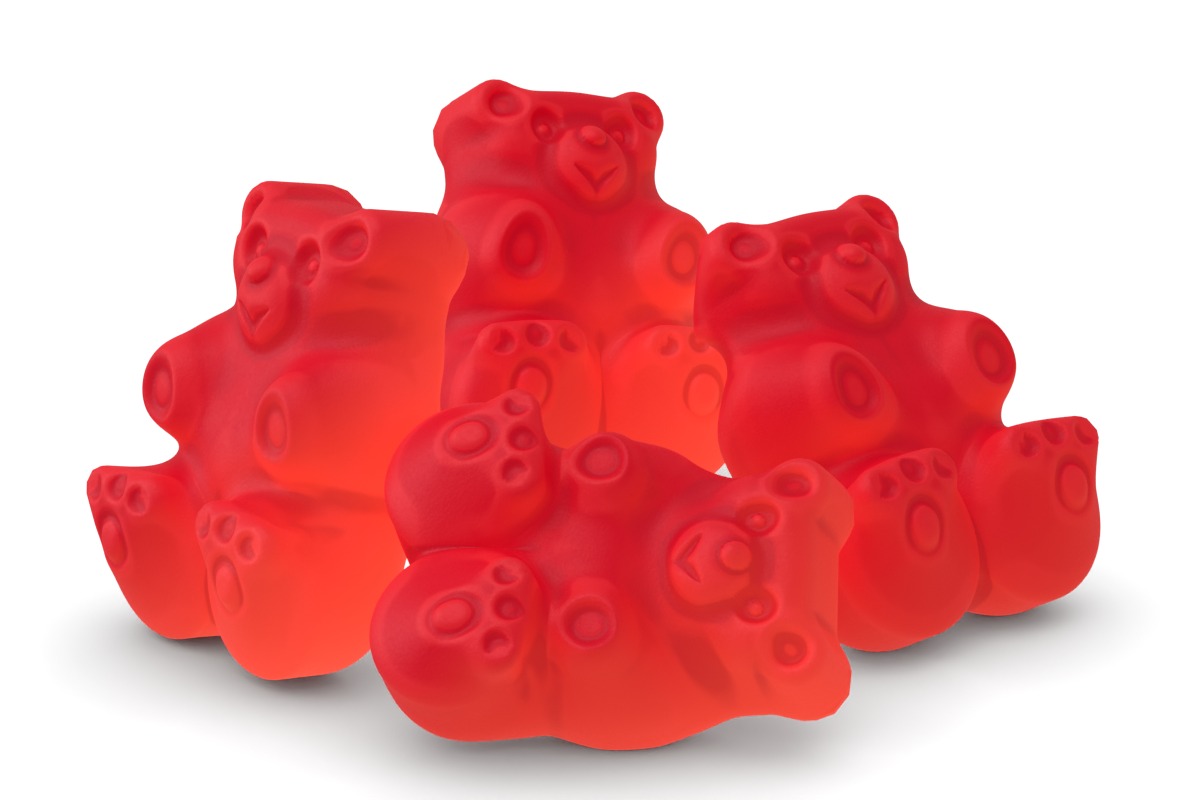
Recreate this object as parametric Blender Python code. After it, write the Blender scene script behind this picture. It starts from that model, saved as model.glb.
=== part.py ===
"""A heap of four gummy bears that sit and lie as they fell. Metres, +Z up.

One bear is described in millimetres, standing on its seat, with its face
towards -Y and its right and left alike. Its skin is a smooth blend of rounded
lumps (chest, hips, belly, arms, legs, head, ears and muzzle), and small
hollows and bumps are pressed into its front along Y, as a mould gives them.
Each bear of the heap has that skin, bent a little at the neck, and is then
turned, laid down and cut off flat where it rests on the surface.
"""

import math

import bmesh
import bpy
import numpy as np
from mathutils import Euler, Matrix, Vector

# ---- one bear, in millimetres -------------------------------------------

MM = 0.001

# Lumps with a centre, a half size and the radius of their edges.
CHEST = {"centre": (0.0, 0.55, 11.5), "half": (6.8, 3.05, 3.8), "edge": 2.9}
HIPS = {"centre": (0.0, -0.2, 4.9), "half": (7.3, 3.4, 4.6), "edge": 3.3}
BELLY = {"centre": (0.0, -1.2, 8.9), "radii": (4.6, 3.6, 4.8)}
MUZZLE = {"centre": (0.0, -2.75, 16.4), "radii": (2.35, 1.55, 2.35)}

# The rump is trimmed by a large barrel round this line along X.
RUMP_LINE = (-7.8, 11.5)
RUMP_RADIUS = 12.1
RUMP_SIDE = 0.5

# Arms and legs run along Y, from a small end in front to a thick root.
PAW = {"centre": (4.25, 11.75), "radius": 1.85}
SHOULDER = {"centre": (4.4, 12.0), "radius": 2.75, "flat": 0.92}
ARM_SPAN = (-5.7, 2.0)
ARM_TAPER = 6.0
SOLE_CORNERS = ((2.7, 7.1), (6.4, 6.9), (4.75, 4.5))
SOLE_RIM = 1.2
THIGH = {"centre": (3.9, 4.1), "radius": 4.15}
LEG_SPAN = (-7.6, 0.2)
LEG_TAPER = 3.2

# The head's outline changes from the face to the wider back of the head.
FACE = {"centre": (0.0, 18.4), "half": (4.7, 2.5), "edge": 2.2}
CHEEKS = {"centre": (0.0, 17.0), "radius": 3.6}
NAPE = {"centre": (0.0, 16.9), "half": (6.0, 4.4), "edge": 3.0}
HEAD_SPAN = (-3.1, 3.9)
HEAD_TAPER = 5.0
EAR = {"back": (4.2, 2.1, 19.9), "front": (4.1, -1.4, 20.0), "radii": (2.0, 1.6)}
EAR_FRONT = -2.3

# Hollows in the front: middle, radii, depth, and how soft the rim is.
HOLLOWS = {
    "ear": ((4.1, 19.95), (0.8, 0.85), 0.65, 0.5),
    "eye": ((2.2, 18.55), (0.75, 0.85), 0.52, 0.45),
    "paw": ((4.25, 11.75), (1.05, 1.1), 0.6, 0.4),
    "inner_toe": ((2.62, 7.2), (0.62, 0.6), 0.34, 0.45),
    "middle_toe": ((4.45, 7.4), (0.62, 0.6), 0.34, 0.45),
    "outer_toe": ((6.35, 7.0), (0.62, 0.6), 0.34, 0.45),
}
BUMPS = {
    "eyeball": ((2.15, 18.3), (0.42, 0.45), 0.25),
    "nose": ((0.0, 17.75), (0.72, 0.68), 0.55),
}
MOUTH_LOW_POINT = 15.1
MOUTH_SLOPE = 0.75
MOUTH_REACH = 1.5
MOUTH_DEPTH = 0.3
HEEL = {"centre": (4.72, 4.75), "radii": (0.95, 1.15), "width": 0.3, "depth": 0.24}
MOULDED_TO = 1.5

NECK = (0.5, 12.5)
NECK_BEND = (11.0, 4.0)

# ---- the heap ------------------------------------------------------------

# size: against the bear above. nod and swing: how the head is bent, in degrees.
# arms: how far out and up the arms sit, in mm. turned: about X, then Y, then Z,
# in degrees. seat: the middle of the seat, in mm. The lowest point of a bear is
# a little under the surface, and is cut off flat there.
BEARS = {
    "bear_left": {
        "size": 1.0, "nod": -9, "swing": -2, "arms": (0.4, 0.0),
        "turned": (-8, -2, -50), "seat": (-14.75, -6.8, -0.2),
    },
    "bear_back": {
        "size": 1.005, "nod": -13, "swing": 6, "arms": (0.2, 0.1),
        "turned": (-22, 8, 19), "seat": (-1.6, 15.5, 0.0),
    },
    "bear_right": {
        "size": 1.015, "nod": -11, "swing": -1, "arms": (0.0, 0.0),
        "turned": (-30, 0, 38), "seat": (16.4, -4.2, -0.7),
    },
    "bear_front": {
        "size": 0.935, "nod": 5, "swing": 7, "arms": (0.1, -1.0),
        "turned": (-82, 43, -95), "seat": (-9.0, -14.5, 5.1),
    },
}

# The bear on the right is pressed in at its flank by the paw and the foot of
# the bear behind it. Each press is a bar along Y, tipped down to the back, and
# its ends are places in X and across the bar, in mm.
PRESS_TIP = 17.5
PRESS_EDGE = 0.8
BEARS["bear_right"]["presses"] = (
    {"start": (3.55, 16.5), "end": (3.3, 13.6), "radii": (1.3, 1.3)},
    {"start": (4.9, 10.9), "end": (3.9, 6.4), "radii": (1.35, 1.0)},
)

VOXEL = 0.22
RELAX_ROUNDS = 3
MOST_TRIANGLES = 2400

JELLY_RED = (0.72, 0.012, 0.03, 1.0)
JELLY_ROUGHNESS = 0.35


# ---- distances to shapes: less than 0 inside, in mm ----------------------


def length(vectors):
    return np.sqrt((vectors * vectors).sum(-1))


def ball(points, centre, radii):
    """An ellipsoid."""
    scaled = (points - np.array(centre)) / np.array(radii)
    reach = length(scaled)
    slope = np.maximum(length(scaled / np.array(radii)), 1e-9)
    return reach * (reach - 1.0) / slope


def block(points, centre, half, edge):
    """A box with round edges, in two or three dimensions."""
    beyond = np.abs(points - np.array(centre)) - (np.array(half) - edge)
    return length(np.maximum(beyond, 0.0)) + np.minimum(beyond.max(-1), 0.0) - edge


def cone(points, start, end, radii):
    """A bar with round ends whose radius changes along it, in two or three dimensions."""
    start, end = np.array(start), np.array(end)
    run = end - start
    t = np.clip(((points - start) @ run) / (run @ run), 0.0, 1.0)
    return length(points - (start + t[:, None] * run)) - (radii[0] + (radii[1] - radii[0]) * t)


def triangle(points, corners):
    """A flat triangle, in two dimensions."""
    corners = [np.array(corner, float) for corner in corners]
    first, second = corners[1] - corners[0], corners[2] - corners[0]
    winding = np.sign(first[0] * second[1] - first[1] * second[0])
    nearest = np.full(len(points), np.inf)
    inside = np.full(len(points), np.inf)
    for here, there in zip(corners, corners[1:] + corners[:1]):
        side = there - here
        offset = points - here
        t = np.clip((offset @ side) / (side @ side), 0.0, 1.0)
        nearest = np.minimum(nearest, length(offset - t[:, None] * side))
        inside = np.minimum(inside, winding * (offset[:, 1] * side[0] - offset[:, 0] * side[1]))
    return -nearest * np.sign(inside)


def melt(one, other, width):
    """Joins two shapes, with a fillet of about this width between them."""
    t = np.clip(0.5 + 0.5 * (other - one) / width, 0.0, 1.0)
    return other + (one - other) * t - width * t * (1.0 - t)


def common(one, other, width):
    """What two shapes have in common, with its edge rounded over this width."""
    return -melt(-one, -other, width)


def ease(t):
    t = np.clip(t, 0.0, 1.0)
    return t * t * (3.0 - 2.0 * t)


def loft(front, back, y, span, taper, front_edge, back_edge):
    """A bar along Y whose section changes from front to back over taper."""
    t = ease((y - span[0]) / taper)
    section = front * (1.0 - t) + back * t
    section = common(section, span[0] - y, front_edge)
    return common(section, y - span[1], back_edge)


# ---- the bear's skin -----------------------------------------------------


def moved(centre, arms):
    return (centre[0] + arms[0], centre[1] + arms[1])


def trunk(points):
    x, y, z = points.T
    shape = melt(block(points, **CHEST), block(points, **HIPS), 1.8)
    off_line = np.stack([RUMP_SIDE * x, y - RUMP_LINE[0], z - RUMP_LINE[1]], -1)
    shape = common(shape, length(off_line) - RUMP_RADIUS, 2.0)
    return melt(shape, ball(points, **BELLY), 1.2)


def arm(points, arms):
    x, y, z = points.T
    paw_x, paw_z = moved(PAW["centre"], arms)
    root_x, root_z = moved(SHOULDER["centre"], arms)
    paw = np.hypot(x - paw_x, z - paw_z) - PAW["radius"]
    root = np.hypot(x - root_x, (z - root_z) * SHOULDER["flat"]) - SHOULDER["radius"]
    return loft(paw, root, y, ARM_SPAN, ARM_TAPER, 1.8, 1.0)


def leg(points):
    front_view = points[:, [0, 2]]
    sole = triangle(front_view, SOLE_CORNERS) - SOLE_RIM
    thigh = length(front_view - np.array(THIGH["centre"])) - THIGH["radius"]
    return loft(sole, thigh, points[:, 1], LEG_SPAN, LEG_TAPER, 1.3, 2.2)


def head(points):
    front_view = points[:, [0, 2]]
    cheeks = length(front_view - np.array(CHEEKS["centre"])) - CHEEKS["radius"]
    face = melt(block(front_view, **FACE), cheeks, 1.0)
    skull = loft(face, block(front_view, **NAPE), points[:, 1], HEAD_SPAN, HEAD_TAPER, 1.6, 3.0)
    ear = cone(points, EAR["back"], EAR["front"], EAR["radii"])
    return melt(skull, common(ear, EAR_FRONT - points[:, 1], 1.0), 0.6)


def body(points, arms):
    """The bear without its hollows and bumps."""
    points = points.copy()
    points[:, 0] = np.abs(points[:, 0])
    shape = melt(trunk(points), arm(points, arms), 2.4)
    shape = melt(shape, leg(points), 1.6)
    shape = melt(shape, head(points), 1.8)
    return melt(shape, ball(points, **MUZZLE), 0.35)


def relief(x, z, arms):
    """How far the front stands forward of the body at x, z."""
    x = np.abs(x)
    height = np.zeros_like(x)
    for name, (centre, radii, depth, softness) in HOLLOWS.items():
        if name == "paw":
            centre = moved(centre, arms)
        off = np.hypot((x - centre[0]) / radii[0], (z - centre[1]) / radii[1])
        height -= depth * (1.0 - ease((off - 1.0 + softness) / (2.0 * softness)))
    for centre, radii, rise in BUMPS.values():
        off = ((x - centre[0]) / radii[0]) ** 2 + ((z - centre[1]) / radii[1]) ** 2
        height += rise * np.sqrt(np.maximum(1.0 - off, 0.0))
    lip = z - (MOUTH_LOW_POINT + MOUTH_SLOPE * x)
    width = 0.42 * np.clip(1.35 - x, 0.0, 1.0) + 0.02
    height -= MOUTH_DEPTH * np.exp(-((lip / width) ** 2)) * ease((MOUTH_REACH - x) / 0.6)
    (heel_x, heel_z), (wide, tall) = HEEL["centre"], HEEL["radii"]
    ring = np.hypot((x - heel_x) / wide, (z - heel_z) / tall) - 1.0
    return height - HEEL["depth"] * np.exp(-((ring / HEEL["width"]) ** 2))


def bent(points, nod, swing):
    """The head tipped down by nod and swung sideways, about the neck."""
    amount = ease((points[:, 2] - NECK_BEND[0]) / NECK_BEND[1])
    x, y, z = (points - np.array((0.0, *NECK))).T
    down, aside = np.radians(nod) * amount, np.radians(swing) * amount
    y, z = y * np.cos(down) - z * np.sin(down), y * np.sin(down) + z * np.cos(down)
    x, y = x * np.cos(aside) - y * np.sin(aside), x * np.sin(aside) + y * np.cos(aside)
    return np.stack([x, y, z], -1) + np.array((0.0, *NECK))


def turned(bear):
    return Euler([math.radians(angle) for angle in bear["turned"]])


def in_heap(points, bear):
    """Where the points of a bear are in the heap, in mm."""
    points = bent(points, bear["nod"], bear["swing"]) * bear["size"]
    return points @ np.array(turned(bear).to_matrix()).T + np.array(bear["seat"])


def pressed(shape, points, bear):
    """The shape without what the neighbour's paw and foot take away."""
    x, y, z = in_heap(points, bear).T
    tip = math.radians(PRESS_TIP)
    along = np.stack([x, y * math.sin(tip) + z * math.cos(tip)], -1)
    for press in bear["presses"]:
        shape = common(shape, -cone(along, **press), PRESS_EDGE)
    return shape


def skin(points, bear):
    """Less than 0 inside the smooth bear, in mm."""
    shape = body(points, bear["arms"])
    return pressed(shape, points, bear) if "presses" in bear else shape


def moulded(points, bear):
    """Points of the smooth skin, pushed along Y by the mould's hollows and bumps."""
    x, y, z = points.T
    rise = relief(x, z, bear["arms"])
    front = y
    for _ in range(6):
        front = y - rise * ease((MOULDED_TO - front) / 2.0)
    return np.stack([x, front, z], -1)


def slope(points, bear, step=0.02):
    columns = []
    for axis in np.eye(3) * step:
        columns.append((skin(points + axis, bear) - skin(points - axis, bear)) / (2.0 * step))
    return np.stack(columns, -1)


def settle(points, bear, rounds, longest=0.5):
    """Moves points onto the skin."""
    for _ in range(rounds):
        rise = slope(points, bear)
        steep = np.maximum((rise * rise).sum(1), 0.05)
        move = -(skin(points, bear) / steep)[:, None] * rise
        points = points + move / np.maximum(length(move) / longest, 1.0)[:, None]
    return points


# ---- from the skin to a solid --------------------------------------------


def blank():
    """Overlapping balls of about the bear's shape, as one closed mesh."""
    middle = [((0, 0.5, 9), (7.5, 5, 8)), ((0, 0, 17), (6.5, 4.5, 5)), ((0, 0, 4), (8, 5, 5))]
    sides = [((4.5, -3.5, 5), (3, 5, 4)), ((5, -3.5, 12), (2.5, 4, 2.5))]
    sides += [((-x, y, z), radii) for (x, y, z), radii in sides]
    shape = bmesh.new()
    for centre, radii in middle + sides:
        place = Matrix.Translation(centre) @ Matrix.Diagonal((*radii, 1.0))
        bmesh.ops.create_icosphere(shape, subdivisions=4, radius=1.0, matrix=place)
    return finished_mesh(shape, "blank")


def finished_mesh(shape, name):
    mesh = bpy.data.meshes.new(name)
    shape.to_mesh(mesh)
    shape.free()
    return mesh


def with_modifier(mesh, kind, **settings):
    """The mesh as a modifier leaves it."""
    helper = bpy.data.objects.new("helper", mesh)
    bpy.context.scene.collection.objects.link(helper)
    modifier = helper.modifiers.new(kind, kind)
    for key, value in settings.items():
        setattr(modifier, key, value)
    graph = bpy.context.evaluated_depsgraph_get()
    result = bpy.data.meshes.new_from_object(helper.evaluated_get(graph))
    bpy.data.objects.remove(helper)
    return result


def vertices_of(mesh):
    flat = np.empty(len(mesh.vertices) * 3)
    mesh.vertices.foreach_get("co", flat)
    return flat.reshape(-1, 3)


def set_vertices(mesh, points):
    mesh.vertices.foreach_set("co", points.ravel())
    mesh.update()


def relaxed(points, edges):
    """Each point moved to the middle of its neighbours."""
    total = np.zeros_like(points)
    count = np.zeros(len(points))
    for here, there in ((0, 1), (1, 0)):
        np.add.at(total, edges[:, here], points[edges[:, there]])
        np.add.at(count, edges[:, here], 1.0)
    return total / count[:, None]


def bear_mesh(name, bear):
    """One bear's closed mesh, in metres."""
    mesh = with_modifier(blank(), "REMESH", mode="VOXEL", voxel_size=VOXEL)
    edges = np.empty(len(mesh.edges) * 2, np.int64)
    mesh.edges.foreach_get("vertices", edges)
    edges = edges.reshape(-1, 2)
    points = settle(vertices_of(mesh), bear, 8)
    for _ in range(RELAX_ROUNDS):
        points = settle(relaxed(points, edges), bear, 2)
    points = moulded(points, bear)
    set_vertices(mesh, bent(points, bear["nod"], bear["swing"]) * bear["size"] * MM)
    triangles = sum(len(polygon.vertices) - 2 for polygon in mesh.polygons)
    mesh = with_modifier(mesh, "DECIMATE", ratio=MOST_TRIANGLES / triangles)
    mesh.name = name
    return mesh


def cut_flat(bear):
    """Cuts off what is under the surface, which leaves a flat spot."""
    to_bear = bear.matrix_world.inverted()
    shape = bmesh.new()
    shape.from_mesh(bear.data)
    everything = shape.verts[:] + shape.edges[:] + shape.faces[:]
    cut = bmesh.ops.bisect_plane(
        shape,
        geom=everything,
        dist=1e-7,
        plane_co=to_bear @ Vector((0.0, 0.0, 0.0)),
        plane_no=to_bear.to_3x3() @ Vector((0.0, 0.0, -1.0)),
        clear_outer=True,
    )
    rim = [piece for piece in cut["geom_cut"] if isinstance(piece, bmesh.types.BMEdge)]
    bmesh.ops.contextual_create(shape, geom=rim)
    bmesh.ops.recalc_face_normals(shape, faces=shape.faces[:])
    shape.to_mesh(bear.data)
    shape.free()


def centre_heap(bears):
    """Puts the middle of the heap's box over the origin."""
    corners = [bear.matrix_world @ vertex.co for bear in bears for vertex in bear.data.vertices]
    for axis in (0, 1):
        places = [corner[axis] for corner in corners]
        middle = (min(places) + max(places)) / 2.0
        for bear in bears:
            bear.location[axis] -= middle


def jelly():
    material = bpy.data.materials.new("red_jelly")
    material.use_nodes = True
    finish = material.node_tree.nodes["Principled BSDF"]
    finish.inputs["Base Color"].default_value = JELLY_RED
    finish.inputs["Roughness"].default_value = JELLY_ROUGHNESS
    finish.inputs["Metallic"].default_value = 0.0
    return material


def main():
    for old in list(bpy.data.objects):
        bpy.data.objects.remove(old)
    material = jelly()
    bears = []
    for name, place in BEARS.items():
        mesh = bear_mesh(name, place)
        mesh.materials.append(material)
        bear = bpy.data.objects.new(name, mesh)
        bear.rotation_euler = turned(place)
        bear.location = Vector(place["seat"]) * MM
        bpy.context.scene.collection.objects.link(bear)
        bpy.context.view_layer.update()
        cut_flat(bear)
        mesh.shade_smooth()
        bears.append(bear)
    centre_heap(bears)


main()
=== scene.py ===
"""The looks of a heap of four red jelly bears.

Each bear is modelled again, finer than its solid, with the same sizes and in
The skin is a smooth blend of rounded lumps with hollows and
bumps pressed into its front, and the jelly is a cloudy red with a dull skin,
with light and shade painted into its colour and glow.
Bears are described in millimetres, standing, with the face towards -Y.
"""

import math

import bmesh
import bpy
import numpy as np
from mathutils import Euler, Matrix, Vector


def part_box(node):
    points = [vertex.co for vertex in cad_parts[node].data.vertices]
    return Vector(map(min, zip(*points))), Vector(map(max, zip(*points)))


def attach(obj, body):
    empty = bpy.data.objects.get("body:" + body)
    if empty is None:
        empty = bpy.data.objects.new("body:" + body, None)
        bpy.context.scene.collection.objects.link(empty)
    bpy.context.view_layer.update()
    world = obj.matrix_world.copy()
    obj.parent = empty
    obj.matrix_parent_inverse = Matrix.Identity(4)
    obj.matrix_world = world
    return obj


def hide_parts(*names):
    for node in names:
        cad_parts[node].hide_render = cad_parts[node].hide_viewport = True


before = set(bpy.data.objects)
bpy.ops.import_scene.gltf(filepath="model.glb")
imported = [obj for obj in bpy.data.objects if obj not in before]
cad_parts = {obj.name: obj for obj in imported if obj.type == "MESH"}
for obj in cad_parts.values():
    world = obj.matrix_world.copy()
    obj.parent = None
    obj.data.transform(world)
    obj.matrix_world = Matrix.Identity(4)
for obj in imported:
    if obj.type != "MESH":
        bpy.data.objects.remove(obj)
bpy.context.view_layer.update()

# ---- one bear, in millimetres -------------------------------------------

MM = 0.001

# Lumps with a centre, a half size and the radius of their edges.
CHEST = {"centre": (0.0, 0.55, 11.5), "half": (6.8, 3.05, 3.8), "edge": 2.9}
HIPS = {"centre": (0.0, -0.2, 4.9), "half": (7.3, 3.4, 4.6), "edge": 3.3}
BELLY = {"centre": (0.0, -1.2, 8.9), "radii": (4.6, 3.6, 4.8)}
MUZZLE = {"centre": (0.0, -2.75, 16.4), "radii": (2.35, 1.55, 2.35)}

# The rump is trimmed by a large barrel round this line along X.
RUMP_LINE = (-7.8, 11.5)
RUMP_RADIUS = 12.1
RUMP_SIDE = 0.5

# Arms and legs run along Y, from a small end in front to a thick root.
PAW = {"centre": (4.25, 11.75), "radius": 1.85}
SHOULDER = {"centre": (4.4, 12.0), "radius": 2.75, "flat": 0.92}
ARM_SPAN = (-5.7, 2.0)
ARM_TAPER = 6.0
SOLE_CORNERS = ((2.7, 7.1), (6.4, 6.9), (4.75, 4.5))
SOLE_RIM = 1.2
THIGH = {"centre": (3.9, 4.1), "radius": 4.15}
LEG_SPAN = (-7.6, 0.2)
LEG_TAPER = 3.2

# The head's outline changes from the face to the wider back of the head.
FACE = {"centre": (0.0, 18.4), "half": (4.7, 2.5), "edge": 2.2}
CHEEKS = {"centre": (0.0, 17.0), "radius": 3.6}
NAPE = {"centre": (0.0, 16.9), "half": (6.0, 4.4), "edge": 3.0}
HEAD_SPAN = (-3.1, 3.9)
HEAD_TAPER = 5.0
EAR = {"back": (4.2, 2.1, 19.9), "front": (4.1, -1.4, 20.0), "radii": (2.0, 1.6)}
EAR_FRONT = -2.3

# Hollows in the front: middle, radii, depth, and how soft the rim is.
HOLLOWS = {
    "ear": ((4.1, 19.95), (0.8, 0.85), 0.65, 0.5),
    "eye": ((2.2, 18.55), (0.75, 0.85), 0.52, 0.45),
    "paw": ((4.25, 11.75), (1.05, 1.1), 0.6, 0.4),
    "inner_toe": ((2.62, 7.2), (0.62, 0.6), 0.34, 0.45),
    "middle_toe": ((4.45, 7.4), (0.62, 0.6), 0.34, 0.45),
    "outer_toe": ((6.35, 7.0), (0.62, 0.6), 0.34, 0.45),
}
BUMPS = {
    "eyeball": ((2.15, 18.3), (0.42, 0.45), 0.25),
    "nose": ((0.0, 17.75), (0.72, 0.68), 0.55),
}
MOUTH_LOW_POINT = 15.1
MOUTH_SLOPE = 0.75
MOUTH_REACH = 1.5
MOUTH_DEPTH = 0.3
HEEL = {"centre": (4.72, 4.75), "radii": (0.95, 1.15), "width": 0.3, "depth": 0.24}
MOULDED_TO = 1.5

NECK = (0.5, 12.5)
NECK_BEND = (11.0, 4.0)

# ---- the heap ------------------------------------------------------------

# size: against the bear above. nod and swing: how the head is bent, in degrees.
# arms: how far out and up the arms sit, in mm. turned: about X, then Y, then Z,
# in degrees. seat: the middle of the seat, in mm. The lowest point of a bear is
# a little under the surface, and is cut off flat there.
BEARS = {
    "bear_left": {
        "size": 1.0, "nod": -9, "swing": -2, "arms": (0.4, 0.0),
        "turned": (-8, -2, -50), "seat": (-14.75, -6.8, -0.2),
    },
    "bear_back": {
        "size": 1.005, "nod": -13, "swing": 6, "arms": (0.2, 0.1),
        "turned": (-22, 8, 19), "seat": (-1.6, 15.5, 0.0),
    },
    "bear_right": {
        "size": 1.015, "nod": -11, "swing": -1, "arms": (0.0, 0.0),
        "turned": (-30, 0, 38), "seat": (16.4, -4.2, -0.7),
    },
    "bear_front": {
        "size": 0.935, "nod": 5, "swing": 7, "arms": (0.1, -1.0),
        "turned": (-82, 43, -95), "seat": (-9.0, -14.5, 5.1),
    },
}

# The bear on the right is pressed in at its flank by the paw and the foot of
# the bear behind it. Each press is a bar along Y, tipped down to the back, and
# its ends are places in X and across the bar, in mm.
PRESS_TIP = 17.5
PRESS_EDGE = 0.8
BEARS["bear_right"]["presses"] = (
    {"start": (3.55, 16.5), "end": (3.3, 13.6), "radii": (1.3, 1.3)},
    {"start": (4.9, 10.9), "end": (3.9, 6.4), "radii": (1.35, 1.0)},
)

VOXEL = 0.135
RELAX_ROUNDS = 3
RIM_ROUNDS = 10
RIM_HEIGHT = 0.00006

# How much of the lamps' light passes through each bear and leaves it low down
# on its right. The bear on the left stands in front of the others.
LIT_THROUGH = {"bear_left": 1.0, "bear_back": 0.65, "bear_right": 0.1, "bear_front": 0.5}

# ---- distances to shapes: less than 0 inside, in mm ----------------------


def length(vectors):
    return np.sqrt((vectors * vectors).sum(-1))


def ball(points, centre, radii):
    """An ellipsoid."""
    scaled = (points - np.array(centre)) / np.array(radii)
    reach = length(scaled)
    slope = np.maximum(length(scaled / np.array(radii)), 1e-9)
    return reach * (reach - 1.0) / slope


def block(points, centre, half, edge):
    """A box with round edges, in two or three dimensions."""
    beyond = np.abs(points - np.array(centre)) - (np.array(half) - edge)
    return length(np.maximum(beyond, 0.0)) + np.minimum(beyond.max(-1), 0.0) - edge


def cone(points, start, end, radii):
    """A bar with round ends whose radius changes along it, in two or three dimensions."""
    start, end = np.array(start), np.array(end)
    run = end - start
    t = np.clip(((points - start) @ run) / (run @ run), 0.0, 1.0)
    return length(points - (start + t[:, None] * run)) - (radii[0] + (radii[1] - radii[0]) * t)


def triangle(points, corners):
    """A flat triangle, in two dimensions."""
    corners = [np.array(corner, float) for corner in corners]
    first, second = corners[1] - corners[0], corners[2] - corners[0]
    winding = np.sign(first[0] * second[1] - first[1] * second[0])
    nearest = np.full(len(points), np.inf)
    inside = np.full(len(points), np.inf)
    for here, there in zip(corners, corners[1:] + corners[:1]):
        side = there - here
        offset = points - here
        t = np.clip((offset @ side) / (side @ side), 0.0, 1.0)
        nearest = np.minimum(nearest, length(offset - t[:, None] * side))
        inside = np.minimum(inside, winding * (offset[:, 1] * side[0] - offset[:, 0] * side[1]))
    return -nearest * np.sign(inside)


def melt(one, other, width):
    """Joins two shapes, with a fillet of about this width between them."""
    t = np.clip(0.5 + 0.5 * (other - one) / width, 0.0, 1.0)
    return other + (one - other) * t - width * t * (1.0 - t)


def common(one, other, width):
    """What two shapes have in common, with its edge rounded over this width."""
    return -melt(-one, -other, width)


def ease(t):
    t = np.clip(t, 0.0, 1.0)
    return t * t * (3.0 - 2.0 * t)


def loft(front, back, y, span, taper, front_edge, back_edge):
    """A bar along Y whose section changes from front to back over taper."""
    t = ease((y - span[0]) / taper)
    section = front * (1.0 - t) + back * t
    section = common(section, span[0] - y, front_edge)
    return common(section, y - span[1], back_edge)


# ---- the bear's skin -----------------------------------------------------


def moved(centre, arms):
    return (centre[0] + arms[0], centre[1] + arms[1])


def trunk(points):
    x, y, z = points.T
    shape = melt(block(points, **CHEST), block(points, **HIPS), 1.8)
    off_line = np.stack([RUMP_SIDE * x, y - RUMP_LINE[0], z - RUMP_LINE[1]], -1)
    shape = common(shape, length(off_line) - RUMP_RADIUS, 2.0)
    return melt(shape, ball(points, **BELLY), 1.2)


def arm(points, arms):
    x, y, z = points.T
    paw_x, paw_z = moved(PAW["centre"], arms)
    root_x, root_z = moved(SHOULDER["centre"], arms)
    paw = np.hypot(x - paw_x, z - paw_z) - PAW["radius"]
    root = np.hypot(x - root_x, (z - root_z) * SHOULDER["flat"]) - SHOULDER["radius"]
    return loft(paw, root, y, ARM_SPAN, ARM_TAPER, 1.8, 1.0)


def leg(points):
    front_view = points[:, [0, 2]]
    sole = triangle(front_view, SOLE_CORNERS) - SOLE_RIM
    thigh = length(front_view - np.array(THIGH["centre"])) - THIGH["radius"]
    return loft(sole, thigh, points[:, 1], LEG_SPAN, LEG_TAPER, 1.3, 2.2)


def head(points):
    front_view = points[:, [0, 2]]
    cheeks = length(front_view - np.array(CHEEKS["centre"])) - CHEEKS["radius"]
    face = melt(block(front_view, **FACE), cheeks, 1.0)
    skull = loft(face, block(front_view, **NAPE), points[:, 1], HEAD_SPAN, HEAD_TAPER, 1.6, 3.0)
    ear = cone(points, EAR["back"], EAR["front"], EAR["radii"])
    return melt(skull, common(ear, EAR_FRONT - points[:, 1], 1.0), 0.6)


def body(points, arms):
    """The bear without its hollows and bumps."""
    points = points.copy()
    points[:, 0] = np.abs(points[:, 0])
    shape = melt(trunk(points), arm(points, arms), 2.4)
    shape = melt(shape, leg(points), 1.6)
    shape = melt(shape, head(points), 1.8)
    return melt(shape, ball(points, **MUZZLE), 0.35)


def relief(x, z, arms):
    """How far the front stands forward of the body at x, z."""
    x = np.abs(x)
    height = np.zeros_like(x)
    for name, (centre, radii, depth, softness) in HOLLOWS.items():
        if name == "paw":
            centre = moved(centre, arms)
        off = np.hypot((x - centre[0]) / radii[0], (z - centre[1]) / radii[1])
        height -= depth * (1.0 - ease((off - 1.0 + softness) / (2.0 * softness)))
    for centre, radii, rise in BUMPS.values():
        off = ((x - centre[0]) / radii[0]) ** 2 + ((z - centre[1]) / radii[1]) ** 2
        height += rise * np.sqrt(np.maximum(1.0 - off, 0.0))
    lip = z - (MOUTH_LOW_POINT + MOUTH_SLOPE * x)
    width = 0.42 * np.clip(1.35 - x, 0.0, 1.0) + 0.02
    height -= MOUTH_DEPTH * np.exp(-((lip / width) ** 2)) * ease((MOUTH_REACH - x) / 0.6)
    (heel_x, heel_z), (wide, tall) = HEEL["centre"], HEEL["radii"]
    ring = np.hypot((x - heel_x) / wide, (z - heel_z) / tall) - 1.0
    return height - HEEL["depth"] * np.exp(-((ring / HEEL["width"]) ** 2))


def bent(points, nod, swing):
    """The head tipped down by nod and swung sideways, about the neck."""
    amount = ease((points[:, 2] - NECK_BEND[0]) / NECK_BEND[1])
    x, y, z = (points - np.array((0.0, *NECK))).T
    down, aside = np.radians(nod) * amount, np.radians(swing) * amount
    y, z = y * np.cos(down) - z * np.sin(down), y * np.sin(down) + z * np.cos(down)
    x, y = x * np.cos(aside) - y * np.sin(aside), x * np.sin(aside) + y * np.cos(aside)
    return np.stack([x, y, z], -1) + np.array((0.0, *NECK))


def turned(bear):
    return Euler([math.radians(angle) for angle in bear["turned"]])


def in_heap(points, bear):
    """Where the points of a bear are in the heap, in mm."""
    points = bent(points, bear["nod"], bear["swing"]) * bear["size"]
    return points @ np.array(turned(bear).to_matrix()).T + np.array(bear["seat"])


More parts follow.
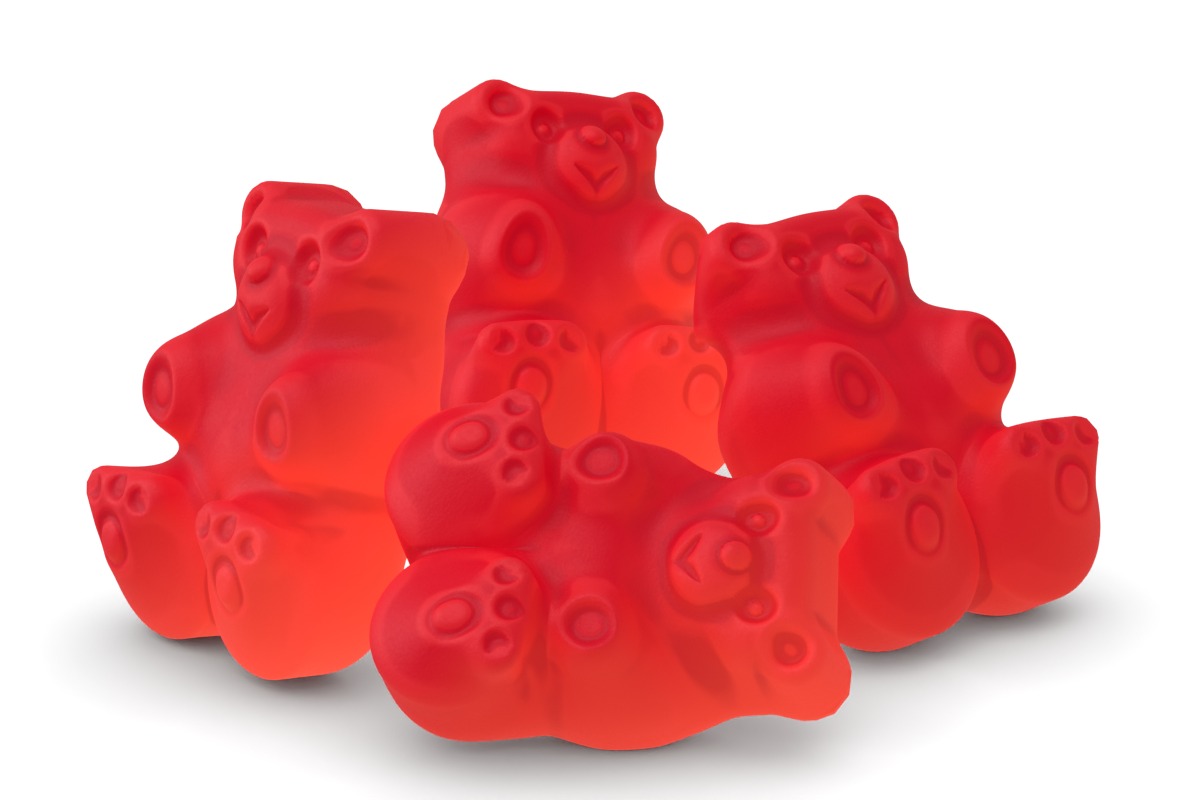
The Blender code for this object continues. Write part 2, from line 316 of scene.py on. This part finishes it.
def pressed(shape, points, bear):
    """The shape without what the neighbour's paw and foot take away."""
    x, y, z = in_heap(points, bear).T
    tip = math.radians(PRESS_TIP)
    along = np.stack([x, y * math.sin(tip) + z * math.cos(tip)], -1)
    for press in bear["presses"]:
        shape = common(shape, -cone(along, **press), PRESS_EDGE)
    return shape


def skin(points, bear):
    """Less than 0 inside the smooth bear, in mm."""
    shape = body(points, bear["arms"])
    return pressed(shape, points, bear) if "presses" in bear else shape


def moulded(points, bear):
    """Points of the smooth skin, pushed along Y by the mould's hollows and bumps."""
    x, y, z = points.T
    rise = relief(x, z, bear["arms"])
    front = y
    for _ in range(6):
        front = y - rise * ease((MOULDED_TO - front) / 2.0)
    return np.stack([x, front, z], -1)


def slope(points, bear, step=0.02):
    columns = []
    for axis in np.eye(3) * step:
        columns.append((skin(points + axis, bear) - skin(points - axis, bear)) / (2.0 * step))
    return np.stack(columns, -1)


def settle(points, bear, rounds, longest=0.5):
    """Moves points onto the skin."""
    for _ in range(rounds):
        rise = slope(points, bear)
        steep = np.maximum((rise * rise).sum(1), 0.05)
        move = -(skin(points, bear) / steep)[:, None] * rise
        points = points + move / np.maximum(length(move) / longest, 1.0)[:, None]
    return points


# ---- from the skin to a mesh ---------------------------------------------


def blank():
    """Overlapping balls of about the bear's shape, as one closed mesh."""
    middle = [((0, 0.5, 9), (7.5, 5, 8)), ((0, 0, 17), (6.5, 4.5, 5)), ((0, 0, 4), (8, 5, 5))]
    sides = [((4.5, -3.5, 5), (3, 5, 4)), ((5, -3.5, 12), (2.5, 4, 2.5))]
    sides += [((-x, y, z), radii) for (x, y, z), radii in sides]
    shape = bmesh.new()
    for centre, radii in middle + sides:
        place = Matrix.Translation(centre) @ Matrix.Diagonal((*radii, 1.0))
        bmesh.ops.create_icosphere(shape, subdivisions=4, radius=1.0, matrix=place)
    return finished_mesh(shape, "blank")


def finished_mesh(shape, name):
    mesh = bpy.data.meshes.new(name)
    shape.to_mesh(mesh)
    shape.free()
    return mesh


def with_modifier(mesh, kind, **settings):
    """The mesh as a modifier leaves it."""
    helper = bpy.data.objects.new("helper", mesh)
    bpy.context.scene.collection.objects.link(helper)
    modifier = helper.modifiers.new(kind, kind)
    for key, value in settings.items():
        setattr(modifier, key, value)
    graph = bpy.context.evaluated_depsgraph_get()
    result = bpy.data.meshes.new_from_object(helper.evaluated_get(graph))
    bpy.data.objects.remove(helper)
    return result


def vertices_of(mesh):
    flat = np.empty(len(mesh.vertices) * 3)
    mesh.vertices.foreach_get("co", flat)
    return flat.reshape(-1, 3)


def set_vertices(mesh, points):
    mesh.vertices.foreach_set("co", points.ravel())
    mesh.update()


def relaxed(points, edges):
    """Each point moved to the middle of its neighbours."""
    total = np.zeros_like(points)
    count = np.zeros(len(points))
    for here, there in ((0, 1), (1, 0)):
        np.add.at(total, edges[:, here], points[edges[:, there]])
        np.add.at(count, edges[:, here], 1.0)
    return total / count[:, None]


def roundness(mesh, points, edges):
    """0 in a sharp crease, 0.5 where the skin is flat and 1 on a sharp rim."""
    normals = np.empty(len(points) * 3)
    mesh.vertex_normals.foreach_get("vector", normals)
    smooth = points
    for _ in range(RIM_ROUNDS):
        smooth = relaxed(smooth, edges)
    proud = ((points - smooth) * normals.reshape(-1, 3)).sum(1)
    return np.clip(0.5 + proud / RIM_HEIGHT, 0.0, 1.0)


def far_side(points, lit):
    """How much light that came through the jelly leaves it at each point."""
    low, high = points.min(0), points.max(0)
    across, _, up = ((2.0 * points - low - high) / (high - low)).T
    return lit * (0.5 * across - 0.45 * up + 0.15)


def painted(mesh, name, values):
    mesh.attributes.new(name, "FLOAT", "POINT").data.foreach_set("value", values)


def bear_mesh(name, bear):
    """One bear's closed mesh, in metres."""
    mesh = with_modifier(blank(), "REMESH", mode="VOXEL", voxel_size=VOXEL)
    edges = np.empty(len(mesh.edges) * 2, np.int64)
    mesh.edges.foreach_get("vertices", edges)
    edges = edges.reshape(-1, 2)
    points = settle(vertices_of(mesh), bear, 8)
    for _ in range(RELAX_ROUNDS):
        points = settle(relaxed(points, edges), bear, 2)
    points = in_heap(moulded(points, bear), bear) * MM
    points[:, 2] = np.maximum(points[:, 2], 0.0)
    set_vertices(mesh, points)
    painted(mesh, "rim", roundness(mesh, points, edges))
    painted(mesh, "far_side", far_side(points, LIT_THROUGH[name]))
    mesh.name = name
    mesh.shade_smooth()
    return mesh


def build_bears(material):
    for name, place in BEARS.items():
        mesh = bear_mesh(name, place)
        mesh.materials.append(material)
        piece = bpy.data.objects.new(name + "_jelly", mesh)
        bpy.context.scene.collection.objects.link(piece)
        points = vertices_of(mesh)
        low, high = points.min(0), points.max(0)
        cad_low, cad_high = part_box(name)
        shift = (np.array(cad_low) + np.array(cad_high) - low - high) / 2.0
        shift[2] = 0.0
        set_vertices(mesh, points + shift)
        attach(piece, "root")
        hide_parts(name)


# ---- shader maths ---------------------------------------------------------


class Wire:
    """A socket that adds Math nodes when it is used in a sum."""

    def __init__(self, shader, socket):
        self.shader = shader
        self.socket = socket

    def math(self, operation, *others):
        values = {0: self}
        values.update({i + 1: other for i, other in enumerate(others)})
        return self.shader.node("ShaderNodeMath", {"operation": operation}, values)[0]

    def __add__(self, other):
        return self.math("ADD", other)

    def __mul__(self, other):
        return self.math("MULTIPLY", other)

    def __sub__(self, other):
        return self.math("SUBTRACT", other)

    def __rsub__(self, other):
        return (self * -1.0).math("ADD", other)

    __radd__ = __add__
    __rmul__ = __mul__

    def eased(self, low, high):
        """0 below low and 1 above high, with a smooth step between them."""
        step = {"interpolation_type": "SMOOTHSTEP"}
        values = {"Value": self, "From Min": low, "From Max": high}
        return self.shader.node("ShaderNodeMapRange", step, values)[0]


class Shader:
    """A material's nodes."""

    def __init__(self, name):
        self.material = bpy.data.materials.new(name)
        self.material.use_nodes = True
        self.tree = self.material.node_tree
        self.tree.nodes.clear()

    def node(self, kind, settings=None, values=None):
        made = self.tree.nodes.new(kind)
        for key, value in (settings or {}).items():
            setattr(made, key, value)
        for key, value in (values or {}).items():
            if isinstance(value, Wire):
                self.tree.links.new(value.socket, made.inputs[key])
            else:
                made.inputs[key].default_value = value
        return [Wire(self, socket) for socket in made.outputs]

    def mixed(self, factor, one, other):
        """A colour between two."""
        one, other = ((*side, 1.0) if isinstance(side, tuple) else side for side in (one, other))
        values = {0: factor, 6: one, 7: other}
        return self.node("ShaderNodeMix", {"data_type": "RGBA"}, values)[2]


def jelly():
    """Cloudy red jelly with a dull, finely grained skin, with light and shade painted into its colour and
    glow: brighter on the far side from the lamps and on faces turned down, painted shade in creases and a
    painted sheen on sharp rims.
    """
    shader = Shader("red_jelly")
    place = shader.node("ShaderNodeTexCoord")[3]
    facing = shader.node("ShaderNodeSeparateXYZ", {}, {0: shader.node("ShaderNodeNewGeometry")[1]})
    rim = shader.node("ShaderNodeAttribute", {"attribute_name": "rim"})[2]
    far = shader.node("ShaderNodeAttribute", {"attribute_name": "far_side"})[2]
    # Painted glow: light that came through the jelly, painted brighter on the far side from the lamps and
    # on faces turned down.
    glow = far + facing[0] * 0.06 - facing[2] * 0.26 + 0.12
    # crease marks where painted shade darkens the skin in creases and folds.
    crease = rim.eased(0.5, 0.1)
    # edge marks where a painted sheen lightens sharp rims, partly standing for rubbed frosting.
    edge = rim.eased(0.55, 0.95)
    grain = shader.node("ShaderNodeTexNoise", {}, {"Vector": place, "Scale": 7000.0, "Detail": 2.0})[0]
    swell = shader.node("ShaderNodeTexNoise", {}, {"Vector": place, "Scale": 700.0, "Detail": 2.0})[0]
    bump = shader.node(
        "ShaderNodeBump", {}, {"Strength": 0.5, "Distance": 0.00006, "Height": grain * 0.5 + swell}
    )[0]
    # The base colour is the jelly's crimson with painted glow, painted shade in creases and a painted sheen
    # on rims.
    red_with_painted_light = shader.mixed(glow, (0.38, 0.002, 0.014), (0.75, 0.07, 0.04))
    red_with_painted_light = shader.mixed(crease * 0.35, red_with_painted_light, (0.25, 0.0, 0.008))
    red_with_painted_light = shader.mixed(edge * 0.3, red_with_painted_light, (0.9, 0.07, 0.07))
    # The emission is all painted light: an even painted glow that softens the shading, brighter where the
    # glow is high, with painted shade in creases.
    painted_glow_red = shader.mixed(glow, (0.41, 0.0, 0.006), (0.89, 0.07, 0.036))
    painted_glow_red = shader.mixed(crease * 0.3, painted_glow_red, (0.2, 0.0, 0.008))
    finish = shader.node(
        "ShaderNodeBsdfPrincipled",
        {},
        {
            "Base Color": red_with_painted_light,
            "Roughness": grain * 0.3 + 0.35,
            "IOR": 1.4,
            "Specular Tint": (1.0, 0.7, 0.8, 1.0),
            "Emission Color": painted_glow_red,
            "Emission Strength": 1.0,
            "Normal": bump,
        },
    )[0]
    shader.node("ShaderNodeOutputMaterial", {}, {"Surface": finish})
    return shader.material


# ---- the studio -----------------------------------------------------------

CAMERA_TIP = 17.5
CAMERA_DISTANCE = 0.19407
CAMERA_LENS = 120.0
LOOK_AT = Vector((0.00005, -0.00245, 0.010))
LAMP_AIM = Vector((0.0, 0.0, 0.01))
FLOOR_SIDE = 6.0
FLOOR_LIGHT = 1.13
FLOOR_BOUNCE = 0.18
LIGHT_BOUNCES = 3


def pale_floor():
    """White, with a painted contact shadow in grey only close to where something rests on it. It lights the
    jelly less than it shows.
    """
    shader = Shader("pale_floor")
    open_sky = shader.node("ShaderNodeAmbientOcclusion", {"samples": 1}, {"Distance": 0.01})[1]
    seen = shader.node("ShaderNodeLightPath")[0]
    # The camera sees a painted contact shadow from the occlusion; all other rays get an even floor light.
    light = FLOOR_BOUNCE + seen * (open_sky.math("POWER", 0.25) * FLOOR_LIGHT - FLOOR_BOUNCE)
    finish = shader.node(
        "ShaderNodeBsdfPrincipled",
        {},
        {
            "Base Color": (0.02, 0.02, 0.02, 1.0),
            "Roughness": 0.9,
            "Emission Color": light,
            "Emission Strength": 1.0,
        },
    )[0]
    shader.node("ShaderNodeOutputMaterial", {}, {"Surface": finish})
    return shader.material


def lay_floor():
    shape = bmesh.new()
    bmesh.ops.create_grid(shape, x_segments=1, y_segments=1, size=FLOOR_SIDE / 2.0)
    floor = bpy.data.objects.new("floor", finished_mesh(shape, "floor"))
    floor.data.materials.append(pale_floor())
    bpy.context.scene.collection.objects.link(floor)


def lamp(name, place, size, power):
    data = bpy.data.lights.new(name, "AREA")
    data.shape = "RECTANGLE"
    data.size, data.size_y = size
    data.energy = power
    made = bpy.data.objects.new(name, data)
    made.location = place
    made.rotation_euler = (LAMP_AIM - Vector(place)).to_track_quat("-Z", "Y").to_euler()
    bpy.context.scene.collection.objects.link(made)


def set_world(colour, strength):
    world = bpy.data.worlds.new("studio")
    world.use_nodes = True
    sky = world.node_tree.nodes["Background"]
    sky.inputs["Color"].default_value = (*colour, 1.0)
    sky.inputs["Strength"].default_value = strength
    bpy.context.scene.world = world


def set_camera():
    data = bpy.data.cameras.new("camera")
    data.lens = CAMERA_LENS
    data.sensor_width = 36.0
    data.clip_start = 0.01
    camera = bpy.data.objects.new("camera", data)
    tip = math.radians(CAMERA_TIP)
    back = Vector((0.0, -math.cos(tip), math.sin(tip)))
    camera.location = LOOK_AT + back * CAMERA_DISTANCE
    camera.rotation_euler = (math.radians(90.0) - tip, 0.0, 0.0)
    bpy.context.scene.collection.objects.link(camera)
    bpy.context.scene.camera = camera


set_camera()
build_bears(jelly())
lay_floor()
set_world((1.0, 1.0, 1.0), 0.27)
lamp("side_softbox", (-0.5, 0.0, 0.2), (0.5, 0.4), 1.2)
lamp("top_softbox", (-0.15, -0.1, 0.5), (0.4, 0.4), 1.0)
bpy.context.scene.view_settings.view_transform = "Standard"
bpy.context.scene.cycles.max_bounces = LIGHT_BOUNCES
